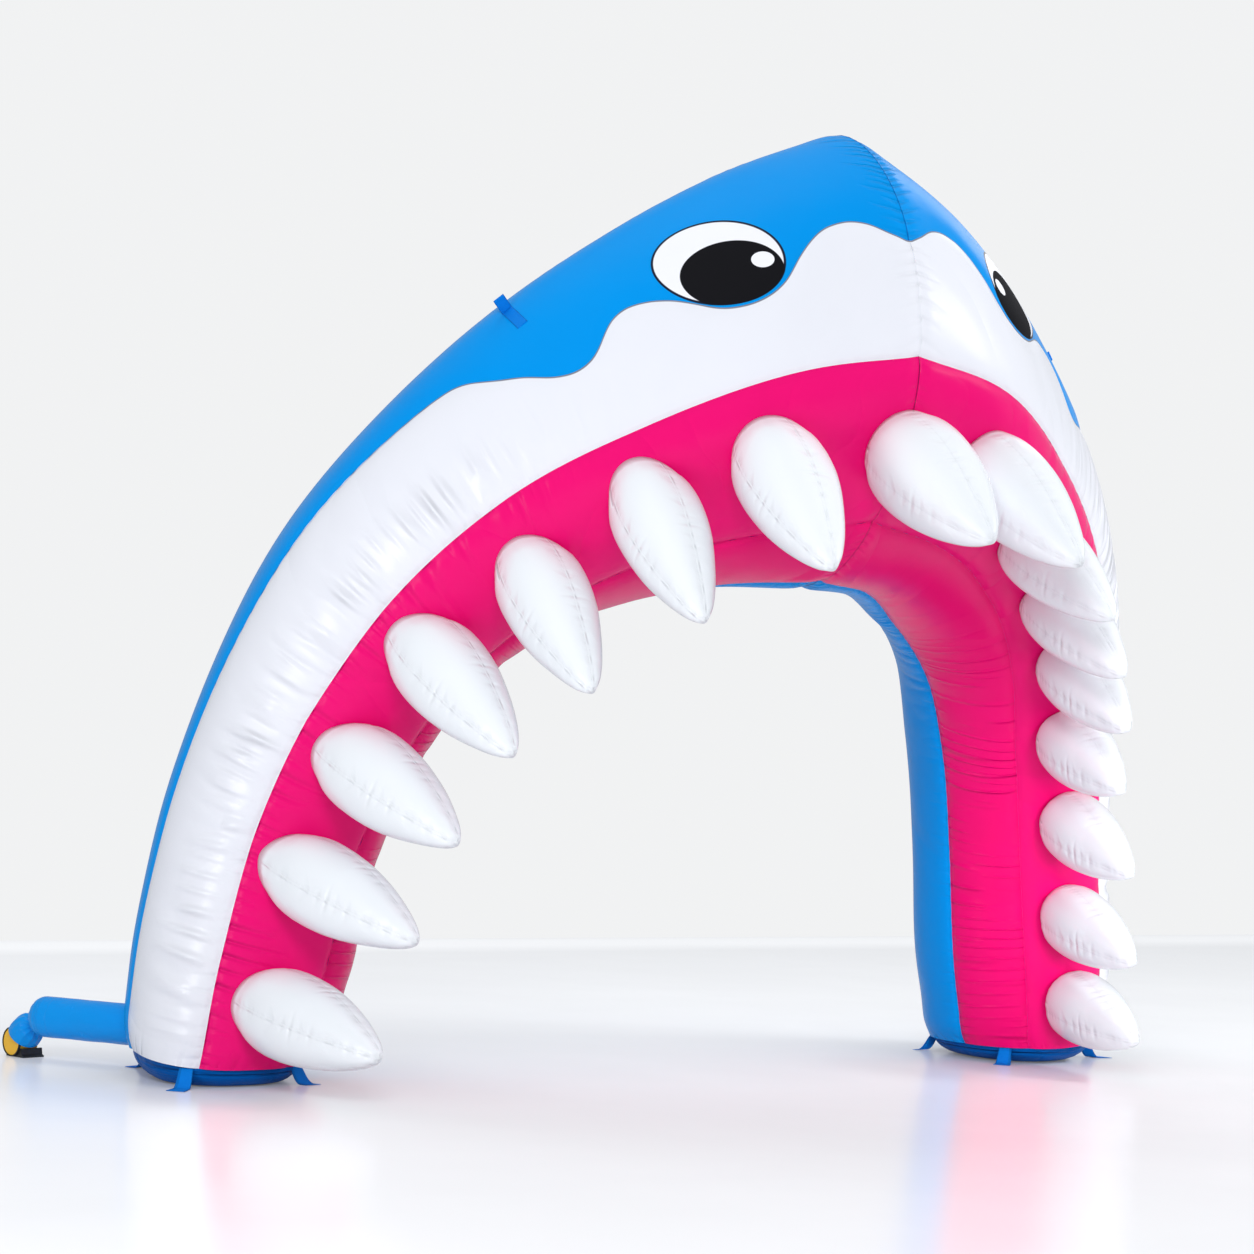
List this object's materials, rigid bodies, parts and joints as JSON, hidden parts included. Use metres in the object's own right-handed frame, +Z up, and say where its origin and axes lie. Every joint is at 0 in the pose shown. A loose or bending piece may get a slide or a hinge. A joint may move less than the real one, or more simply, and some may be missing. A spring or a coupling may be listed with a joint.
{
  "type": "inflatable arch",
  "caption": "Walk-through inflatable arch shaped like the open upper jaw of a big fish, with cloth teeth along its front, webbing loops at its feet and a small air blower behind one leg.",
  "frame": {"origin": "on the floor under the middle of the whole object, seen from above", "axes": "+Z up, -Y the front that the teeth point to, +X from the leg with the blower to the other leg"},
  "size_m": [5.1416, 3.4652, 3.9954],
  "materials": {
    "blue_cloth": "coated polyester cloth, slightly glossy",
    "white_cloth": "coated polyester cloth, slightly glossy",
    "pink_cloth": "coated polyester cloth, slightly glossy",
    "tooth_cloth": "coated polyester cloth, slightly glossy",
    "ground_pvc": "heavy PVC sheet",
    "blue_webbing": "woven strap",
    "yellow_housing": "painted housing",
    "black_plastic": "moulded",
    "black_steel": "painted"
  },
  "bodies": {
    "root": {"back_panel_left": "blue_cloth", "face_panel_left": "white_cloth", "gum_panel_left": "pink_cloth", "mouth_panel_left": "pink_cloth", "ground_cup_left": "ground_pvc", "back_panel_right": "blue_cloth", "face_panel_right": "white_cloth", "gum_panel_right": "pink_cloth", "mouth_panel_right": "pink_cloth", "ground_cup_right": "ground_pvc", "tooth_left_1": "tooth_cloth", "tooth_left_2": "tooth_cloth", "tooth_left_3": "tooth_cloth", "tooth_left_4": "tooth_cloth", "tooth_left_5": "tooth_cloth", "tooth_left_6": "tooth_cloth", "tooth_left_7": "tooth_cloth", "tooth_middle": "tooth_cloth", "tooth_right_1": "tooth_cloth", "tooth_right_2": "tooth_cloth", "tooth_right_3": "tooth_cloth", "tooth_right_4": "tooth_cloth", "tooth_right_5": "tooth_cloth", "tooth_right_6": "tooth_cloth", "tooth_right_7": "tooth_cloth", "tooth_right_8": "tooth_cloth", "floor_loop_left_front_out": "blue_webbing", "floor_loop_left_front_in": "blue_webbing", "floor_loop_left_back_out": "blue_webbing", "floor_loop_left_back_in": "blue_webbing", "guy_loop_left": "blue_webbing", "guy_patch_left": "blue_webbing", "floor_loop_right_front_out": "blue_webbing", "floor_loop_right_front_in": "blue_webbing", "floor_loop_right_back_out": "blue_webbing", "floor_loop_right_back_in": "blue_webbing", "guy_loop_right": "blue_webbing", "guy_patch_right": "blue_webbing", "sleeve": "blue_cloth", "neck": "blue_cloth", "blower_drum": "yellow_housing", "blower_rim": "black_plastic", "blower_stand": "black_steel"}
  },
  "joints": []
}
